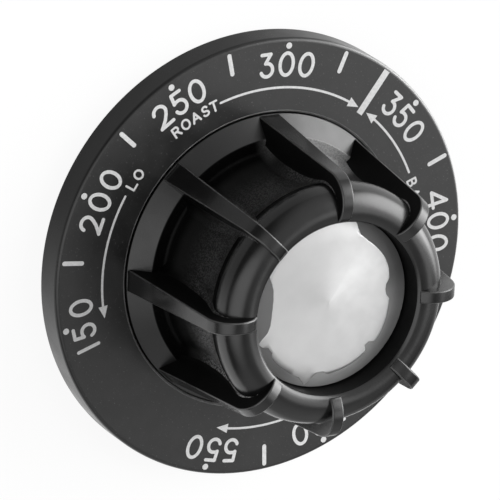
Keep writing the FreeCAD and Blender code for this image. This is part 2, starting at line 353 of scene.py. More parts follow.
class Graph:
    """Short ways to add texture nodes to a material."""

    def __init__(self, material):
        self.tree = material.node_tree
        self.place = self.node("ShaderNodeTexCoord").outputs["Object"]

    def node(self, kind, **settings):
        made = self.tree.nodes.new(kind)
        for key, value in settings.items():
            setattr(made, key, value)
        return made

    def link(self, output, socket):
        self.tree.links.new(output, socket)

    def axes(self):
        """The X, Y and Z of a point of the piece."""
        parts = self.node("ShaderNodeSeparateXYZ")
        self.link(self.place, parts.inputs["Vector"])
        return parts.outputs["X"], parts.outputs["Y"], parts.outputs["Z"]

    def radius(self, x, y):
        """A point's distance from the knob's axis."""
        squares = self.maths("ADD", self.maths("MULTIPLY", x, x), self.maths("MULTIPLY", y, y))
        return self.maths("SQRT", squares)

    def noise(self, size_mm, detail=2.0):
        """Noise whose features are about this many millimetres across."""
        made = self.node("ShaderNodeTexNoise")
        made.inputs["Scale"].default_value = 1.0 / (size_mm * MM)
        made.inputs["Detail"].default_value = detail
        self.link(self.place, made.inputs["Vector"])
        return made.outputs["Fac"]

    def spread(self, value, low, high, out_low, out_high):
        """Maps a range of a value smoothly to another."""
        made = self.node("ShaderNodeMapRange", interpolation_type="SMOOTHSTEP")
        ends = {"From Min": low, "From Max": high, "To Min": out_low, "To Max": out_high}
        for key, number in ends.items():
            made.inputs[key].default_value = number
        self.link(value, made.inputs["Value"])
        return made.outputs["Result"]

    def maths(self, kind, a, b=None):
        made = self.node("ShaderNodeMath", operation=kind)
        for socket, value in zip(made.inputs, (a, b)):
            if value is None:
                continue
            if isinstance(value, (int, float)):
                socket.default_value = value
            else:
                self.link(value, socket)
        return made.outputs["Value"]

    def blend(self, share, first, second):
        """A colour between two colours."""
        made = self.node("ShaderNodeMix", data_type="RGBA")
        self.link(share, made.inputs["Factor"])
        for socket, value in zip((made.inputs[6], made.inputs[7]), (first, second)):
            if isinstance(value, tuple):
                socket.default_value = value
            else:
                self.link(value, socket)
        return made.outputs[2]

    def bump(self, height, depth_mm, after=None):
        """A dented surface, on top of another one where that is given."""
        made = self.node("ShaderNodeBump")
        made.inputs["Distance"].default_value = depth_mm * MM
        made.inputs["Strength"].default_value = 1.0
        self.link(height, made.inputs["Height"])
        if after:
            self.link(after, made.inputs["Normal"])
        return made.outputs["Normal"]


def grey(value):
    return (value, value, value, 1.0)


def toward(g, azimuth, far, near, far_share, near_share):
    """A share by how near an azimuth a point lies: one beyond the far distance, one within the near one."""
    x, y, _ = g.axes()
    a = math.radians(azimuth)
    along = g.maths("ADD", g.maths("MULTIPLY", x, math.cos(a)), g.maths("MULTIPLY", y, math.sin(a)))
    facing = g.maths("DIVIDE", along, g.radius(x, y))
    low, high = math.cos(math.radians(far)), math.cos(math.radians(near))
    return g.spread(facing, low, high, far_share, near_share)


def wall_with_painted_light(g, shader, colour, specular):
    """The hub wall's colour with its painted light, lighter grainy patches where the main and the second
    light fall, and less gloss at the wall's root.
    """
    height = g.axes()[2]
    patch_grain = g.noise(PAINTED_LIGHT_GRAIN_MM)
    above_foot = g.spread(height, *FOOT_END, 0.0, 1.0)
    # Painted light: a lighter grainy patch on the wall where the main light falls
    main_patch_share = g.maths("MULTIPLY", above_foot, g.spread(height, *MAIN_LIGHT_PATCH_END, 1.0, MAIN_LIGHT_PATCH_REST))
    main_patch_share = g.maths("MULTIPLY", toward(g, *MAIN_LIGHT_PATCH_SIDE), main_patch_share)
    main_patch_share = g.maths("MULTIPLY", main_patch_share, g.spread(patch_grain, *NOISE_MIDDLE, *MAIN_LIGHT_PATCH_SHARES))
    colour = g.blend(main_patch_share, colour, grey(PAINTED_LIGHT_TONE))
    # Painted light: a lighter grainy patch on the wall where the second light falls
    painted_light_patches = g.maths("MULTIPLY", toward(g, *SECOND_LIGHT_PATCH_SIDE), g.spread(height, *SECOND_LIGHT_PATCH_START, 0.0, 1.0))
    painted_light_patches = g.maths("MULTIPLY", painted_light_patches, g.spread(patch_grain, *SECOND_LIGHT_PATCH_NOISE, *SECOND_LIGHT_PATCH_SHARES))
    colour = g.blend(painted_light_patches, colour, grey(PAINTED_LIGHT_TONE))
    root = g.spread(above_foot, 0.0, 1.0, specular, specular * ROOT_GLOSS_SHARE)
    wall = g.spread(height, *WALL_GLOSS, 0.0, specular * WALL_GLOSS_SHARE)
    g.link(g.maths("MAXIMUM", root, wall), shader.inputs["Specular IOR Level"])
    return colour


def moulded_plastic(name, tone, roughness, grain_mm, grain_depth, specular=0.6, specks=0.0,
                    painted_light_patches=False, rim_highlight_tone=0.0):
    """Black moulded plastic: grain, uneven gloss, a little dust, and painted light where asked: light patches
    on the hub wall, a lighter rim edge.
    """
    material, shader = new_material(name, roughness, specular=specular)
    g = Graph(material)
    sheen = g.spread(g.noise(SHEEN_MM, detail=3.0), *NOISE_MIDDLE, *(roughness + r for r in SHEEN_RANGE))
    g.link(sheen, shader.inputs["Roughness"])
    mottle = g.spread(g.noise(MOTTLE_MM, detail=4.0), *MOTTLE_NOISE, 0.0, 1.0)
    colour = g.blend(mottle, *(grey(tone * share) for share in MOTTLE_SHARES))
    if specks:
        dust = g.spread(g.noise(DUST_MM, detail=1.0), *DUST_NOISE, 0.0, specks)
        colour = g.blend(dust, colour, grey(DUST_TONE))
    # Painted highlight: the rim's edge is lighter on the side the lights come from
    if rim_highlight_tone:
        edge = g.spread(g.axes()[2], *RIM_HIGHLIGHT_EDGE, RIM_HIGHLIGHT_REST, 1.0)
        colour = g.blend(g.maths("MULTIPLY", edge, toward(g, *RIM_HIGHLIGHT_SIDE)), colour, grey(rim_highlight_tone))
    # Painted light patches on the hub wall
    if painted_light_patches:
        colour = wall_with_painted_light(g, shader, colour, specular)
    g.link(colour, shader.inputs["Base Color"])
    waves = g.bump(g.noise(WAVE_MM, detail=1.0), WAVE_DEPTH)
    g.link(g.bump(g.noise(grain_mm, detail=3.0), grain_depth, after=waves), shader.inputs["Normal"])
    return material


def printed_ink():
    """White ink, slightly uneven where it lies on the grain."""
    material, shader = new_material("dial_ink", INK_ROUGHNESS, specular=INK_SPECULAR)
    g = Graph(material)
    patch = g.spread(g.noise(INK_PATCH_MM, detail=3.0), *NOISE_MIDDLE, 0.0, 1.0)
    g.link(g.blend(patch, *(grey(tone) for tone in INK_TONES)), shader.inputs["Base Color"])
    g.link(g.bump(g.noise(INK_GRAIN_MM), INK_GRAIN_DEPTH), shader.inputs["Normal"])
    return material


def turned_metal(name, tone, roughness, groove_mm, groove_depth, anisotropy=0.0, highlight_sides=(), off_highlight_share=1.0,
                 metallic=1.0):
    """Metal with fine rings round the knob's axis, cloudy, and with painted highlights: full tone on the
    sides that are given, duller elsewhere.
    """
    material, shader = new_material(name, roughness, metallic=metallic)
    shader.inputs["Anisotropic"].default_value = anisotropy
    g = Graph(material)
    x, y, _ = g.axes()
    rings = g.node("ShaderNodeTexNoise", noise_dimensions="1D")
    rings.inputs["Scale"].default_value = 1.0
    rings.inputs["Detail"].default_value = 3.0
    g.link(g.maths("MULTIPLY", g.radius(x, y), 1.0 / (groove_mm * MM)), rings.inputs["W"])
    g.link(g.bump(rings.outputs["Fac"], groove_depth), shader.inputs["Normal"])
    cloud = g.spread(g.noise(CLOUD_MM, detail=4.0), *NOISE_MIDDLE, 0.0, 1.0)
    colour = g.blend(cloud, tuple(c * CLOUD_SHARE for c in tone) + (1.0,), tone + (1.0,))
    # Painted highlight: full tone on the given sides, a duller tone elsewhere
    if highlight_sides:
        bright_side_share = toward(g, *highlight_sides[0])
        for side in highlight_sides[1:]:
            bright_side_share = g.maths("MAXIMUM", bright_side_share, toward(g, *side))
        off_highlight_colour = g.blend(cloud, grey(off_highlight_share * tone[0] * OFF_HIGHLIGHT_CLOUD_SHARE), grey(off_highlight_share * tone[0]))
        colour = g.blend(bright_side_share, off_highlight_colour, colour)
    g.link(colour, shader.inputs["Base Color"])
    low, high = roughness - RING_ROUGHNESS, roughness + RING_ROUGHNESS
    g.link(g.spread(rings.outputs["Fac"], *NOISE_MIDDLE, low, high), shader.inputs["Roughness"])
    if anisotropy:
        shader.inputs["Anisotropic Rotation"].default_value = QUARTER_TURN
        way = g.node("ShaderNodeTangent", direction_type="RADIAL", axis="Z")
        g.link(way.outputs["Tangent"], shader.inputs["Tangent"])
    return material


SKIRT_FACE = moulded_plastic("skirt_satin_black", tone=0.008, roughness=0.34, grain_mm=0.22, grain_depth=0.02,
                             specks=0.5)
# The rim carries a painted highlight along its edge on the lit side
SKIRT_RIM = moulded_plastic("skirt_rim_black", tone=0.004, roughness=0.3, grain_mm=0.2, grain_depth=0.012,
                            specular=0.5, rim_highlight_tone=0.45)
# Painted highlight: a lighter finish all round the chamfer of the skirt's hole
SKIRT_HIGHLIGHTED_HOLE = moulded_plastic("skirt_hole_edge_highlight", tone=0.26, roughness=0.5, grain_mm=0.2, grain_depth=0.02)
GRIP_GLOSS = moulded_plastic("grip_gloss_black", tone=0.003, roughness=0.22, grain_mm=0.3, grain_depth=0.006)
# The grained black carries the painted light patches on the hub wall
GRIP_GRAIN = moulded_plastic("grip_grained_black", tone=0.002, roughness=0.34, grain_mm=0.16,
                             grain_depth=0.03, specks=0.12, painted_light_patches=True)
# Painted highlight along the ribs' rounded edges
GRIP_HIGHLIGHTED_EDGE = moulded_plastic("grip_edge_highlight", tone=0.07, roughness=0.3, grain_mm=0.2, grain_depth=0.01)
GRIP_DULL = moulded_plastic("grip_dull_black", tone=0.002, roughness=0.6, grain_mm=0.2, grain_depth=0.02,
                            specular=0.12)
INK = printed_ink()
# The disc's grey worn ring, lighter on one side by a painted highlight, and the bright spun layer with a
# painted highlight streak
CAP_RING = turned_metal("cap_worn_ring", tone=(0.33, 0.33, 0.33), roughness=0.5, groove_mm=0.12,
                        groove_depth=0.01, highlight_sides=RING_PAINTED_HIGHLIGHTS, off_highlight_share=0.45, metallic=0.25)
CAP_FACE = turned_metal("cap_spun_face", tone=(0.98, 0.98, 0.98), roughness=0.42, groove_mm=0.1,
                        groove_depth=0.0015, anisotropy=0.22, highlight_sides=FACE_PAINTED_HIGHLIGHTS, off_highlight_share=0.79)
BRASS = turned_metal("bush_brass", tone=(0.72, 0.52, 0.26), roughness=0.3, groove_mm=0.15, groove_depth=0.008)
STEEL = turned_metal("fastener_zinc", tone=(0.6, 0.61, 0.62), roughness=0.34, groove_mm=0.25,
                     groove_depth=0.01)


# Skirt

SKIRT_FINISHES = [SKIRT_FACE, SKIRT_RIM, SKIRT_HIGHLIGHTED_HOLE]
RIM, HOLE_EDGE = 1, 2


def dial_skirt():
    """The round face, its rim and the pillars on its back."""
    front_r = SKIRT_R - RIM_DRAFT
    section = eased([
        (RIM_INNER_R, 0, MOULD_ROUND),
        (SKIRT_R, 0, MOULD_ROUND),
        (front_r, FACE_Z, FACE_EDGE_ROUND),
        (HOLE_R + HOLE_BREAK, FACE_Z, HOLE_EDGE_ROUND),
        (HOLE_R, FACE_Z - HOLE_BREAK, HOLE_EDGE_ROUND),
        (HOLE_R, PLATE_BACK, FINE_ROUND),
        (RIM_INNER_R, PLATE_BACK, PLATE_FILLET),
    ], steps=6)
    bm = bmesh.new()
    spun(bm, section, steps=SKIRT_STEPS)
    for face in bm.faces:
        middle = face.calc_center_median()
        r = middle.xy.length
        if r > front_r - FACE_EDGE_ROUND and middle.z < FACE_Z - RIM_FINISH_DEPTH:
            face.material_index = RIM
        # The hole's edge gets the painted highlight
        elif HOLE_R < r < HOLE_R + HOLE_HIGHLIGHT_REACH and middle.z > FACE_Z - HOLE_BREAK:
            face.material_index = HOLE_EDGE
    pillar = eased([
        (PILOT_R, FLANGE_BACK, FINE_ROUND),
        (PILLAR_R, FLANGE_BACK, MOULD_ROUND),
        (PILLAR_R, PLATE_BACK + PILLAR_SINK),
        (PILOT_R, PLATE_BACK + PILLAR_SINK),
    ])
    for angle in CLAMP_ANGLES:
        a = math.radians(angle)
        middle = (CLAMP_CIRCLE_R * math.cos(a), CLAMP_CIRCLE_R * math.sin(a))
        spun(bm, pillar, steps=PILLAR_STEPS, centre=middle)
    return finished("skirt", bm, SKIRT_FINISHES, replaces=["dial_skirt"])


# Print on the skirt's face

INK_TOP = FACE_Z + 0.035
INK_THICKNESS = 0.06
# Strokes that cross lie this far over each other
INK_LAP = 0.002
DIGIT_HEIGHT = 4.2
DIGIT_STROKE = 0.68
DIGIT_R = 37.75
LETTER_HEIGHT = 1.83
LETTER_STROKE = 0.41
LETTER_R = 33.3
ARC_R = 33.35
ARC_WIDTH = 0.44
ARC_STEP_DEGREES = 1.5
ARC_LEAST_STEPS = 8
TICK_INNER_R = 37.4
TICK_OUTER_R = 41.8
TICK_WIDTH = 0.85
BAR_INNER_R = 32.4
BAR_OUTER_R = 41.95
BAR_WIDTH = 1.35
DOT_R = 41.25
DOT_DIA = 1.2
DOT_STEPS = 28
ARROW_LENGTH = 2.4
ARROW_WIDTH = 1.85
# The share of an arrowhead's length that its arc runs into it
ARROW_LAP = 0.3
# Where the sections of a stroke's round end lie, in degrees
ROUND_END = (84, 66, 44, 22)

# Each character's strokes in shares of its height, with its foot at 0 and its middle on x = 0
OVAL = bow(0, 0.5, 0.325, 0.5, 0, 360, 32)[:-1]
CHARACTERS = {
    "0": [OVAL],
    "1": [[(0, 0), (0, 1)]],
    "2": [bow(0, 0.71, 0.3, 0.29, 168, -20) + [(0.2, 0.47), (0.02, 0.26), (-0.2, 0.09), (-0.33, 0.0)],
          [(-0.33, 0), (0.33, 0)]],
    "3": [[(-0.24, 1), (0.2, 1)], [(0.2, 1), (-0.06, 0.6)],
          [(-0.06, 0.6), (0.0, 0.605)] + bow(0.0, 0.3, 0.29, 0.3, 80, -158, 18)],
    "4": [[(0.2, 0), (0.2, 1)], [(0.2, 1), (-0.38, 0.27)], [(-0.38, 0.27), (0.38, 0.27)]],
    "5": [[(0.25, 1), (-0.2, 1)], [(-0.2, 1), (-0.23, 0.56)],
          [(-0.23, 0.56), (-0.14, 0.61)] + bow(-0.01, 0.31, 0.29, 0.31, 100, -158, 18)],
    "A": [[(-0.42, 0), (0, 1)], [(0, 1), (0.42, 0)], [(-0.27, 0.33), (0.27, 0.33)]],
    "B": [[(-0.3, 0), (-0.3, 1)],
          [(-0.3, 1), (0.04, 1)] + bow(0.04, 0.765, 0.22, 0.235, 80, -90, 10) + [(-0.3, 0.53)],
          [(0.04, 0.53)] + bow(0.06, 0.265, 0.27, 0.265, 90, -90, 10) + [(-0.3, 0)]],
    "E": [[(-0.3, 0), (-0.3, 1)], [(-0.3, 1), (0.3, 1)], [(-0.3, 0.52), (0.22, 0.52)],
          [(-0.3, 0), (0.32, 0)]],
    "I": [[(0, 0), (0, 1)]],
    "K": [[(-0.3, 0), (-0.3, 1)], [(0.32, 1), (-0.3, 0.38)], [(-0.08, 0.6), (0.36, 0)]],
    "L": [[(-0.32, 1), (-0.32, 0)], [(-0.32, 0), (0.34, 0)]],
    "O": [bow(0, 0.5, 0.42, 0.5, 0, 360, 28)[:-1]],
    "R": [[(-0.34, 0), (-0.34, 1)],
          [(-0.34, 1), (0.04, 1)] + bow(0.04, 0.75, 0.25, 0.25, 80, -90, 10) + [(-0.34, 0.5)],
          [(0.02, 0.5), (0.36, 0)]],
    "S": [bow(0, 0.745, 0.28, 0.255, 25, 255, 14) + bow(0, 0.25, 0.31, 0.25, 75, -155, 14)],
    "T": [[(-0.38, 1), (0.38, 1)], [(0, 1), (0, 0)]],
}
CLOSED = {"0", "O"}

# The angle of each digit of a number, and of each letter of a word
NUMBERS = {
    "150": (243.6, 238.4, 231.1),
    "200": (206.8, 200.1, 193.3),
    "250": (170.8, 164.7, 158.7),
    "300": (136.4, 130.1, 123.7),
    "350": (91.3, 85.6, 79.3),
    "400": (55.8, 49.0, 42.2),
    "450": (19.3, 12.4, 5.9),
    "500": (-17.6, -24.0, -30.4),
    "550": (-53.3, -59.1, -65.4),
}
WORDS = {
    "LO": (191.8, 187.8),
    "ROAST": (169.9, 166.1, 162.2, 158.5, 155.2),
    "BAKE": (64.6, 60.4, 56.4, 52.6),
    "BROIL": (-13.0, -17.0, -21.1, -24.4, -27.2),
}
DOTS = (236.4, 200.0, 164.6, 130.0, 85.6, 49.0, 12.3, -24.1, -60.1)
TICKS = (218.0, 181.9, 147.2, 112.6, 67.2, 30.6, -5.9, -42.3)
BAR_ANGLE = 98.9
# Each arc runs from its word to the tip of its arrow
ARCS = ((195.8, 236.6), (152.8, 100.6), (68.4, 96.8), (-30.6, -60.0))


def ink_strip(bm, points, width, top, closed=False, square=False):
    """A line of ink along a path of flat points: an edge extruded along it, with round or square ends."""
    line = [Vector(p) for p in points]
    half = width / 2
    stations = []
    last = len(line) - 1
    for i, point in enumerate(line):
        if closed:
            way = (line[(i + 1) % len(line)] - line[i - 1]).normalized()
        else:
            way = (line[min(i + 1, last)] - line[max(i - 1, 0)]).normalized()
        stations.append((point, way, half))
    if closed:
        stations.append(stations[0])
    elif not square:
        turns = [math.radians(a) for a in ROUND_END]
        start, way, _ = stations[0]
        front = [(start - way * half * math.sin(a), way, half * math.cos(a)) for a in turns]
        end, way, _ = stations[-1]
        back = [(end + way * half * math.sin(a), way, half * math.cos(a)) for a in reversed(turns)]
        stations = front + stations + back
    pair = None
    for centre, way, reach in stations:
        side = Vector((-way.y, way.x)) * reach
        ends = [(*(centre + side), top), (*(centre - side), top)]
        if pair is None:
            pair = first = [bm.verts.new(end) for end in ends]
            edge = bm.edges.new(pair)
            continue
        fresh = only(VERT, bmesh.ops.extrude_edge_only(bm, edges=[edge])["geom"])
        if bm.edges.get((fresh[0], pair[0])) is None:
            fresh.reverse()
        for vert, end in zip(fresh, ends):
            vert.co = end
        pair = fresh
        edge = bm.edges.get(pair)
    if closed:
        bmesh.ops.weld_verts(bm, targetmap=dict(zip(pair, first)))


def thicken(bm):
    """Gives flat ink its thickness, downwards into the face."""
    grown = bmesh.ops.extrude_face_region(bm, geom=bm.faces[:])["geom"]
    bmesh.ops.translate(bm, vec=(0, 0, -INK_THICKNESS), verts=only(VERT, grown))


def on_dial(x, y, radius, degrees):
    """A character's own point, x to its right and y to its top, at its place round the dial."""
    a = math.radians(degrees)
    out = Vector((math.cos(a), math.sin(a)))
    right = Vector((math.sin(a), -math.cos(a)))
    return out * (radius + y) + right * x


def dial_text(name, signs, radius, height, stroke):
    """Numbers or words round the dial, each digit or letter with its top towards the rim."""
    bm = bmesh.new()
    for text, angles in signs.items():
        for sign, degrees in zip(text, angles):
            for level, line in enumerate(CHARACTERS[sign]):
                points = [on_dial(x * height, (y - 0.5) * height, radius, degrees) for x, y in line]
                ink_strip(bm, points, stroke, INK_TOP + INK_LAP * level, closed=sign in CLOSED)
    thicken(bm)
    return finished(name, bm, [INK], merge=0)


def dial_marks():
    """Dots, tick marks and the bar at the change from one range to the next."""
    bm = bmesh.new()
    for degrees in DOTS:
        a = math.radians(degrees)
        place = Matrix.Translation((DOT_R * math.cos(a), DOT_R * math.sin(a), INK_TOP))
        bmesh.ops.create_circle(bm, cap_ends=True, radius=DOT_DIA / 2, segments=DOT_STEPS, matrix=place)
    for degrees in TICKS:
        inner = on_dial(0, 0, TICK_INNER_R + TICK_WIDTH / 2, degrees)
        outer = on_dial(0, 0, TICK_OUTER_R - TICK_WIDTH / 2, degrees)
        ink_strip(bm, [inner, outer], TICK_WIDTH, INK_TOP)
    ends = [on_dial(0, 0, radius, BAR_ANGLE) for radius in (BAR_INNER_R, BAR_OUTER_R)]
    ink_strip(bm, ends, BAR_WIDTH, INK_TOP, square=True)
    thicken(bm)
    return finished("dial_marks", bm, [INK], merge=0)


def dial_arrows():
    """Arcs beside the words, each with an arrowhead at its end."""
    bm = bmesh.new()
    for start, tip in ARCS:
        head = math.degrees(ARROW_LENGTH / ARC_R)
        way = 1 if tip > start else -1
        neck = tip - way * head
        end = neck + way * ARROW_LAP * head
        steps = max(ARC_LEAST_STEPS, int(abs(neck - start) / ARC_STEP_DEGREES))
        points = [on_dial(0, 0, ARC_R, start + (end - start) * i / steps) for i in range(steps + 1)]
        ink_strip(bm, points, ARC_WIDTH, INK_TOP)
        corners = [
            on_dial(0, 0, ARC_R, tip),
            on_dial(0, ARROW_WIDTH / 2, ARC_R, neck),
            on_dial(0, -ARROW_WIDTH / 2, ARC_R, neck),
        ]
        bm.faces.new([bm.verts.new((p.x, p.y, INK_TOP + INK_LAP)) for p in corners])
    for face in bm.faces:
        if face.normal.z < 0:
            face.normal_flip()
    thicken(bm)
    return finished("dial_arrows", bm, [INK], merge=0)


# Grip

GRIP_FINISHES = [GRIP_GLOSS, GRIP_GRAIN, GRIP_HIGHLIGHTED_EDGE, GRIP_DULL]
GRAIN, BRIGHT_EDGE, DULL = 1, 2, 3


def waist_centre():
    """The centre of the hub wall's hollow curve, which runs into the lip."""
    root = Vector((HUB_ROOT_R, SHOULDER_Z))
    lip = Vector((LIP_R, LIP_Z))
    reach = WAIST_RADIUS + LIP_ROUND
    span = (lip - root).length
    along = (span**2 + WAIST_RADIUS**2 - reach**2) / (2 * span)
    across = math.sqrt(WAIST_RADIUS**2 - along**2)
    way = (lip - root).normalized()
    return root + way * along + Vector((way.y, -way.x)) * across


def wall_radius(z):
    """The radius of the hub wall, and of the lip above it, at a height."""
    waist = waist_centre()
    join = waist + (Vector((LIP_R, LIP_Z)) - waist).normalized() * WAIST_RADIUS
    if z < join.y:
        return waist.x - math.sqrt(WAIST_RADIUS**2 - (z - waist.y)**2)
    return LIP_R + math.sqrt(LIP_ROUND**2 - (z - LIP_Z)**2)


def half_rib(z):
    """Half a rib's width at a height, by its draft."""
    return RIB_CREST_WIDTH / 2 + (RIB_TOP - z) * math.tan(math.radians(RIB_DRAFT))


def hub_section():
    """The closed section of foot, hub, lip, recess, hollow and boss."""
    waist = waist_centre()
    fillet_z = SHOULDER_Z + HUB_ROOT_FILLET
    fillet_r = waist.x - math.sqrt((WAIST_RADIUS - HUB_ROOT_FILLET)**2 - (fillet_z - waist.y)**2)
    fillet_angle = math.degrees(math.atan2(fillet_z - waist.y, fillet_r - waist.x)) % 360
    lip = Vector((LIP_R, LIP_Z))
    lip_angle = math.degrees(math.atan2(lip.y - waist.y, lip.x - waist.x)) % 360
    side = LIP_R - RECESS_R - RECESS_BREAK
    edge_angle = 180 - math.degrees(math.acos(side / LIP_ROUND))
    edge_z = LIP_Z + math.sqrt(LIP_ROUND**2 - side**2)
    outside = eased([
        (FLANGE_R, FLANGE_BACK, FLANGE_EDGE_ROUND),
        (FLANGE_R, PLATE_BACK, MOULD_ROUND),
        (FOOT_R, PLATE_BACK),
        (FOOT_R, FACE_Z, MOULD_ROUND),
        (SHOULDER_R, SHOULDER_Z, MOULD_ROUND),
        (fillet_r, SHOULDER_Z),
    ])[:-1]
    root_fillet = arc_points(fillet_r, fillet_z, HUB_ROOT_FILLET, 270, fillet_angle, ROOT_STEPS)
    wall = arc_points(waist.x, waist.y, WAIST_RADIUS, fillet_angle, lip_angle, WALL_STEPS)[1:]
    crown = arc_points(LIP_R, LIP_Z, LIP_ROUND, lip_angle - 180, edge_angle, LIP_STEPS)
    recess = eased([
        crown[-1],
        (RECESS_R, edge_z - RECESS_BREAK, RECESS_EDGE_ROUND),
        (RECESS_R, SEAT_Z, FINE_ROUND),
        (0, SEAT_Z),
        (0, BUSH_END),
    ])[1:]
    inside = eased([
        (BUSH_R, BUSH_END),
        (BUSH_R, BOSS_BACK, BUSH_EDGE_ROUND),
        (BOSS_R, BOSS_BACK, MOULD_ROUND),
        (BOSS_R, HOLLOW_END, BOSS_FILLET),
        (HOLLOW_R - HOLLOW_TAPER, HOLLOW_END, HOLLOW_FILLET),
        (HOLLOW_R, FOOT_HOLLOW_Z, HOLLOW_EDGE_ROUND),
        (FOOT_HOLLOW_R, FOOT_HOLLOW_Z, FOOT_HOLLOW_FILLET),
        (FOOT_HOLLOW_R, FLANGE_BACK, MOULD_ROUND),
    ])
    return outside + root_fillet + wall + crown[1:] + recess + inside


def on_rib_rim(edge):
    """Whether an edge is a long one round a rib's flat sides, on its crown or its leaning outer side."""
    ends = edge.verts
    if len(edge.link_faces) != 2 or edge.calc_face_angle(0) <= math.radians(RIB_CORNER_ANGLE):
        return False
    if abs(ends[0].co.y - ends[1].co.y) >= RIB_CREST_WIDTH / 2:
        return False
    on_crown = min(v.co.z for v in ends) > LIP_Z + RIB_CROWN_RISE
    on_outside = max(v.co.z for v in ends) > RIB_TOP / 2 and min(v.co.x for v in ends) > LIP_R + LIP_ROUND
    return on_crown or on_outside


def knob_rib(bm):
    """One rib along +X: leaning outer edge, curved crown, drafted sides."""
    lean = math.radians(RIB_LEAN)
    crown_z = RIB_TOP - RIB_CROWN_RADIUS
    crown_r = RIB_FOOT_R - (RIB_CROWN_RADIUS + (crown_z - FACE_Z) * math.sin(lean)) / math.cos(lean)
    inner_r = RECESS_R + RECESS_BREAK
    inner_angle = math.degrees(math.acos((inner_r - crown_r) / RIB_CROWN_RADIUS))
    outline = [
        (RIB_BURIED_R, RIB_BASE_Z),
        (RIB_BASE_R, RIB_BASE_Z),
        (RIB_TOE_R, FACE_Z),
        (RIB_FOOT_R, FACE_Z),
        *arc_points(crown_r, crown_z, RIB_CROWN_RADIUS, RIB_LEAN, inner_angle, CROWN_STEPS),
        (inner_r, LIP_Z + RIB_END_RISE),
        (inner_r + RIB_HEEL_SET_BACK, LIP_Z + RIB_HEEL_RISE),
        (RIB_BURIED_R, RIB_BURIED_Z),
    ]
    near = [bm.verts.new((x, 0, z)) for x, z in outline]
    grown = bmesh.ops.extrude_face_region(bm, geom=[bm.faces.new(near)])["geom"]
    for side, verts in ((-1, near), (1, only(VERT, grown))):
        for vert in verts:
            vert.co.y = side * half_rib(vert.co.z)
    bmesh.ops.recalc_face_normals(bm, faces=bm.faces)
    rim = [edge for edge in bm.edges if on_rib_rim(edge)]
    rounded = bmesh.ops.bevel(bm, geom=rim, offset=RIB_EDGE_ROUND, segments=4, profile=0.5, affect="EDGES",
                              material=-1, clamp_overlap=False)
    bm.normal_update()
    # Painted highlight: the middle faces of each rounded edge get a lighter finish
    low, high = RIB_HIGHLIGHT_TURN
    for face in rounded["faces"]:
        if low < abs(face.normal.y) < high:
            face.material_index = BRIGHT_EDGE


def rib_root(bm, side):
    """The hollow corner between the hub wall and one side of the rib on +X, fading out on the lip."""
    bottom, top = SHOULDER_Z - FOOT_SINK, LIP_Z + RIB_END_RISE
    below = None
    for i in range(RIB_ROOT_LAYERS + 1):
        z = bottom + (top - bottom) * i / RIB_ROOT_LAYERS
        fillet = RIB_ROOT_FILLET * min(1.0, max(RIB_ROOT_LEAST, (top - z) / (top - RIB_ROOT_FULL_Z)))
        half = half_rib(z)
        wall = wall_radius(z)
        cy = half + fillet
        cx = math.sqrt((wall + fillet)**2 - cy**2)
        turn = math.atan2(cy, cx)
        in_wall = wall - WALL_SINK
        loop = arc_points(cx, cy, fillet, 180 + math.degrees(turn), 270, RIB_ROOT_STEPS) + [
            (cx, half - RIB_SINK),
            (in_wall, half - RIB_SINK),
            (in_wall * math.cos(turn), in_wall * math.sin(turn)),
        ]
        verts = [bm.verts.new((x, side * y, z)) for x, y in loop]
        edges = [bm.edges.new(pair) for pair in zip(verts, verts[1:] + verts[:1])]
        if below:
            made = bmesh.ops.bridge_loops(bm, edges=below + edges)["faces"]
        else:
            made = [bm.faces.new(verts)]
        for face in made:
            face.material_index = GRAIN
        below = edges
    bm.faces.new(verts).material_index = GRAIN


def add_webs(bm):
    """The webs between the boss and the hollow's wall, with rounded edges at their back."""
    web = bmesh.new()
    length = WEB_OUTER_R - WEB_INNER_R
    height = WEB_END - WEB_BACK
    place = Matrix.Translation((WEB_INNER_R + length / 2, 0, WEB_BACK + height / 2))
    bmesh.ops.create_cube(web, size=1.0, matrix=place @ Matrix.Diagonal((length, WEB_THICKNESS, height, 1)))
    back = [edge for edge in web.edges if max(v.co.z for v in edge.verts) < WEB_BACK + MOULD_ROUND]
    bmesh.ops.bevel(web, geom=back, offset=MOULD_ROUND, segments=2, profile=0.5, affect="EDGES", material=-1)
    turned_copies(web, WEB_COUNT, WEB_START)
    mesh = as_mesh("webs", web)
    bm.from_mesh(mesh)
    bpy.data.meshes.remove(mesh)


def knob_grip():
    """The moulded grip with its ribs outside and its boss and webs inside."""
    bm = bmesh.new()
    knob_rib(bm)
    rib_root(bm, 1)
    rib_root(bm, -1)
    turned_copies(bm, RIB_COUNT, RIB_START)
    bm.normal_update()
    pitch = 360 // RIB_COUNT
    for face in bm.faces:
        middle = face.calc_center_median()
        rib = round(math.degrees(math.atan2(middle.y, middle.x)) / pitch) * pitch % 360
        if rib in DULL_RIBS and abs(face.normal.dot(direction(rib + 90, 0))) > FLAT_SIDE:
            face.material_index = DULL
    add_webs(bm)
    ribs_and_webs = len(bm.faces)
    spun(bm, hub_section())
    bm.faces.ensure_lookup_table()
    for face in bm.faces[ribs_and_webs:]:
        middle = face.calc_center_median()
        if middle.z < LIP_Z - GRAIN_TOP_DROP:
            face.material_index = GRAIN
        if middle.xy.length < RECESS_R + RECESS_WALL_REACH and middle.z > SEAT_Z:
            face.material_index = DULL
    return finished("grip", bm, GRIP_FINISHES, replaces=["knob_body"], crease=35)


# Cap

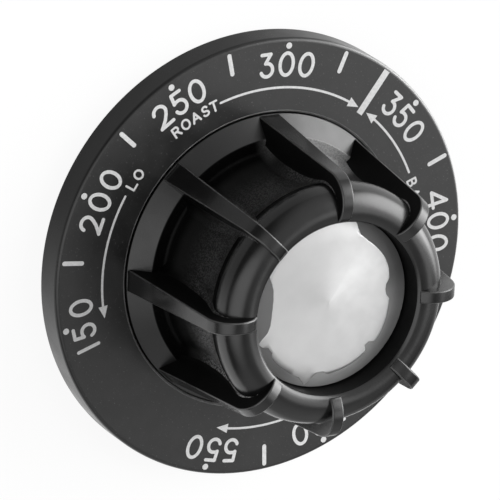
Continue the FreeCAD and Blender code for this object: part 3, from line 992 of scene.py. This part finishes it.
# The bright face's worn border, as (degrees, radius) round the axis
WORN_BORDER = (
    (180, 14.6), (165, 15.0), (150, 15.2), (135, 15.3), (124, 15.4), (118, 15.6), (115, 15.7),
    (112, 14.6), (108, 13.8), (99, 13.4), (88, 13.5), (77, 13.6), (66, 13.4), (58, 13.0), (54, 12.2),
    (49, 12.0), (44, 12.2), (41, 12.9), (30, 13.1), (18, 13.4), (6, 13.7), (2.5, 13.7), (1, 12.6),
    (-5, 12.5), (-6.5, 13.7), (-20, 13.8), (-32, 13.9), (-43, 14.0), (-46, 13.4), (-53, 13.5),
    (-56, 14.6), (-59.6, 16.1), (-62, 15.5), (-66, 14.8), (-78, 14.5), (-90, 14.4), (-97, 14.3),
    (-99, 13.8), (-105, 13.9), (-107, 14.7), (-111.5, 15.3), (-114, 14.2), (-117, 12.9), (-122, 12.1),
    (-129, 11.7), (-138, 11.5), (-146, 11.6), (-154, 12.1), (-159, 12.9), (-163, 13.9), (-168, 14.4),
    (-174, 14.5), (-180, 14.6),
)
# Rings of the bright layer from its border inwards, in shares of the way out from the axis. Those under the
# border's share lie on the disc's flat part
BORDER_SHARE = 0.98
FACE_RINGS = (0.99, 0.9799, 0.85, 0.7, 0.55, 0.4, 0.25, 0.12, 0.05)
LAST_RING_R = 1.0


def cap_height(r):
    """The height of the cap's top at a radius."""
    flat_z = SEAT_Z + CAP_EDGE + CAP_BEVEL_RISE
    if r > CAP_FLAT_R:
        return flat_z - (r - CAP_FLAT_R) / (CAP_R - CAP_FLAT_R) * CAP_BEVEL_RISE
    return flat_z + CAP_CROWN * (1 - r / CAP_FLAT_R)


def cap_disc():
    section = eased([
        (0, SEAT_Z),
        (CAP_R, SEAT_Z, CAP_FOOT_ROUND),
        (CAP_R, cap_height(CAP_R), FINE_ROUND),
        (CAP_FLAT_R, cap_height(CAP_FLAT_R)),
        (0, cap_height(0)),
    ])
    bm = bmesh.new()
    spun(bm, section, closed=False)
    return finished("cap_disc", bm, [CAP_RING], replaces=["face_cap"])


def worn_border(degrees):
    """The radius of the bright face's border at an angle."""
    for (a0, r0), (a1, r1) in zip(WORN_BORDER, WORN_BORDER[1:]):
        if degrees >= a1:
            return r0 + (r1 - r0) * (a0 - degrees) / (a0 - a1)


def settle(vert, share, lift):
    """Puts a corner of the bright layer over the disc, at a share of the way to the border."""
    way = vert.co.xy.normalized()
    r = worn_border(math.degrees(math.atan2(way.y, way.x)))
    if share < BORDER_SHARE:
        r = min(r, CAP_FLAT_R)
    r *= share
    vert.co = (way.x * r, way.y * r, cap_height(r) + lift)


def cap_face():
    """The thin bright layer on the disc, with its worn border."""
    bm = bmesh.new()
    start = bmesh.ops.create_circle(bm, cap_ends=True, radius=1.0, segments=ROUND_STEPS)["verts"]
    for vert in start:
        settle(vert, 1.0, -FOIL_LIFT)
    edges = bm.edges[:]
    for share in FACE_RINGS:
        grown = bmesh.ops.extrude_edge_only(bm, edges=edges)["geom"]
        ring = set(only(VERT, grown))
        for vert in ring:
            settle(vert, share, FOIL_LIFT)
        edges = [edge for edge in only(EDGE, grown) if all(v in ring for v in edge.verts)]
    middle = [v for v in bm.verts if v.co.xy.length < LAST_RING_R]
    bmesh.ops.pointmerge(bm, verts=middle, merge_co=(0, 0, cap_height(0) + FOIL_LIFT))
    return finished("cap_face", bm, [CAP_FACE], crease=60)


dial_skirt()
dial_text("dial_numbers", NUMBERS, DIGIT_R, DIGIT_HEIGHT, DIGIT_STROKE)
dial_text("dial_words", WORDS, LETTER_R, LETTER_HEIGHT, LETTER_STROKE)
dial_marks()
dial_arrows()
knob_grip()
cap_disc()
cap_face()

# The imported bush, spring, washers and screws get their finish
for node_name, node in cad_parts.items():
    if node.hide_render:
        continue
    for holder in node.material_slots:
        holder.material = BRASS if node_name == "shaft_bush" else STEEL


# Studio

FLOOR_SIZE = 4.0
FLOOR_DROP = 0.0001
FLOOR_WHITE = 0.9
FLOOR_TONE = 0.11
FLOOR_ROUGHNESS = 0.9
# How bright the floor shows in the knob's reflections. One side is dim except near the knob, another all over
FLOOR_LIT = 1.0
FLOOR_DIM = 0.24
FLOOR_DIM_SIDE = (-8, 48, 22, FLOOR_LIT, FLOOR_DIM)
FLOOR_SHADED_SIDE = (172, 75, 25, FLOOR_LIT, FLOOR_DIM)
# The range of distance from the axis, in metres, in which "near the knob" ends
FLOOR_NEAR = (0.06, 0.085)


def studio_floor():
    """A pale floor that keeps the knob's soft shadow. It glows evenly white to the camera, and in the knob's
    reflections with painted shade on two sides.
    """
    bm = bmesh.new()
    bmesh.ops.create_grid(bm, x_segments=1, y_segments=1, size=FLOOR_SIZE / 2,
                          matrix=Matrix.Translation((0, 0, -FLOOR_DROP)))
    mesh = as_mesh("floor", bm)
    material, shader = new_material("floor_white", FLOOR_ROUGHNESS, specular=0.0)
    shader.inputs["Base Color"].default_value = grey(FLOOR_TONE)
    shader.inputs["Emission Color"].default_value = grey(1.0)
    g = Graph(material)
    rays = g.node("ShaderNodeLightPath").outputs
    reach = g.node("ShaderNodeVectorMath", operation="LENGTH")
    g.link(g.place, reach.inputs[0])
    near = g.spread(reach.outputs["Value"], *FLOOR_NEAR, 1.0, 0.0)
    lit = g.maths("MAXIMUM", near, toward(g, *FLOOR_DIM_SIDE))
    lit = g.maths("MULTIPLY", lit, toward(g, *FLOOR_SHADED_SIDE))
    # Painted reflection: the floor glows for glossy and transmission rays, dimmer on two sides
    mirrored = g.maths("MAXIMUM", rays["Is Glossy Ray"], rays["Is Transmission Ray"])
    mirrored = g.maths("MULTIPLY", mirrored, lit)
    seen = g.maths("MULTIPLY", rays["Is Camera Ray"], FLOOR_WHITE)
    g.link(g.maths("MAXIMUM", seen, mirrored), shader.inputs["Emission Strength"])
    mesh.materials.append(material)
    floor = in_scene("floor", mesh)


WORLD_BASE = 0.12
# Broad soft lights of the room: azimuth, elevation, degrees from the middle to nothing, brightness
ROOM_LIGHTS = (
    (66, 25, 37, 5.6),
    (44, 8, 19, 3.5),
    (80, 35, 85, 0.6),
    (-125, 50, 45, 1.3),
    (34, 50, 21, 1.15),
    (-40, 22, 48, 0.5),
)


def studio_world():
    """The room's light: an even base and the soft lights, each strongest in its middle."""
    world = bpy.data.worlds.new("studio")
    bpy.context.scene.world = world
    world.use_nodes = True
    nodes, links = world.node_tree.nodes, world.node_tree.links
    nodes.clear()
    place = nodes.new("ShaderNodeTexCoord").outputs["Generated"]
    total = None
    for azimuth, elevation, width, strength in ROOM_LIGHTS:
        dot = nodes.new("ShaderNodeVectorMath")
        dot.operation = "DOT_PRODUCT"
        links.new(place, dot.inputs[0])
        dot.inputs[1].default_value = direction(azimuth, elevation)
        light = nodes.new("ShaderNodeMapRange")
        light.interpolation_type = "SMOOTHERSTEP"
        light.inputs["From Min"].default_value = math.cos(math.radians(width))
        light.inputs["From Max"].default_value = 1.0
        light.inputs["To Min"].default_value = 0.0
        light.inputs["To Max"].default_value = strength
        links.new(dot.outputs["Value"], light.inputs["Value"])
        add = nodes.new("ShaderNodeMath")
        add.operation = "ADD"
        links.new(light.outputs["Result"], add.inputs[0])
        if total is None:
            add.inputs[1].default_value = WORLD_BASE
        else:
            links.new(total, add.inputs[1])
        total = add.outputs["Value"]
    background = nodes.new("ShaderNodeBackground")
    links.new(total, background.inputs["Strength"])
    output = nodes.new("ShaderNodeOutputWorld")
    links.new(background.outputs["Background"], output.inputs["Surface"])


studio_floor()
studio_world()

# Camera

EYE = Vector((-396.87, -59.29, 579.18)) * MM
AIM = Vector((-3.79, -0.4, 5.97)) * MM
ROLL = 123.5
LENS = 271.56
SENSOR_WIDTH = 36.0
CLIP_NEAR, CLIP_FAR = 0.01, 10.0


def studio_camera():
    data = bpy.data.cameras.new("camera")
    data.lens = LENS
    data.sensor_width = SENSOR_WIDTH
    data.clip_start = CLIP_NEAR
    data.clip_end = CLIP_FAR
    camera = in_scene("camera", data)
    camera.location = EYE
    camera.rotation_mode = "QUATERNION"
    level = (AIM - EYE).to_track_quat("-Z", "Y")
    camera.rotation_quaternion = level @ Quaternion((0, 0, 1), math.radians(ROLL))
    bpy.context.scene.camera = camera


studio_camera()
bpy.context.scene.view_settings.view_transform = "Standard"
